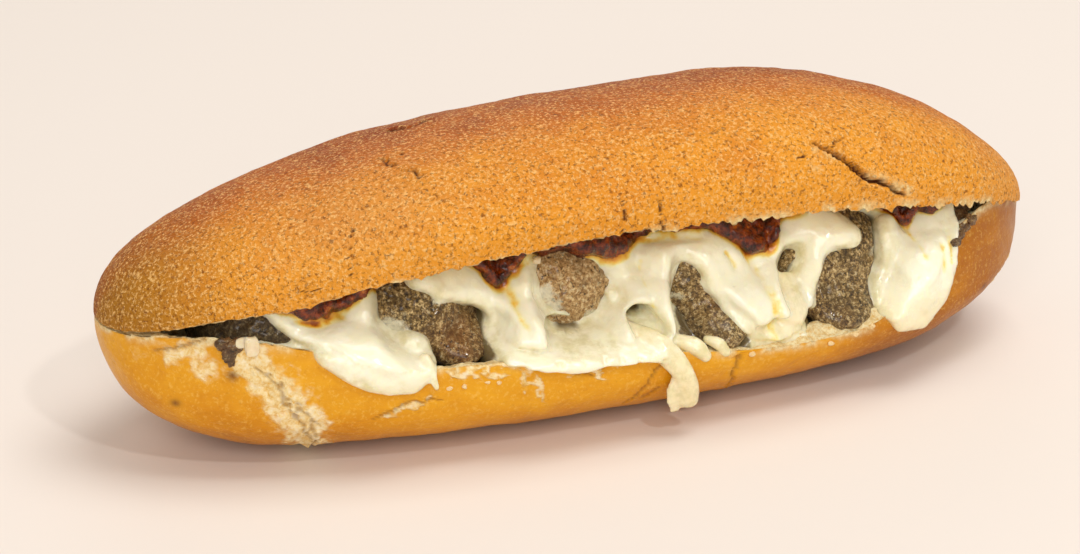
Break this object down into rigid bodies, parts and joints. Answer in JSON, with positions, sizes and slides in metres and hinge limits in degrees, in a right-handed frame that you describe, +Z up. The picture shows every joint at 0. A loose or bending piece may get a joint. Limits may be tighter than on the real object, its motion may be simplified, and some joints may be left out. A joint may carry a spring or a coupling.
{
  "type": "meatball submarine sandwich",
  "caption": "Long soft roll cut into two halves, filled with a row of meatballs under melted cheese and tomato sauce.",
  "frame": {"origin": "centre of the base, under the middle of the outer box", "axes": "+X along the roll to its right end, -Y towards the open front, +Z up"},
  "size_m": [0.232, 0.0838, 0.0723],
  "materials": {
    "crust_bottom": "satin golden crust with cream crumb",
    "meatball": "rough, moist",
    "cheese": "soft gloss",
    "sauce": "wet gloss",
    "crust_top": "matte, fine-grained crust"
  },
  "bodies": {
    "root": {"bread_bottom": "crust_bottom", "meatball_1": "meatball", "meatball_2": "meatball", "meatball_3": "meatball", "meatball_4": "meatball", "meatball_5": "meatball", "meatball_6": "meatball", "cheese": "cheese", "sauce": "sauce", "bread_top": "crust_top"}
  },
  "joints": []
}
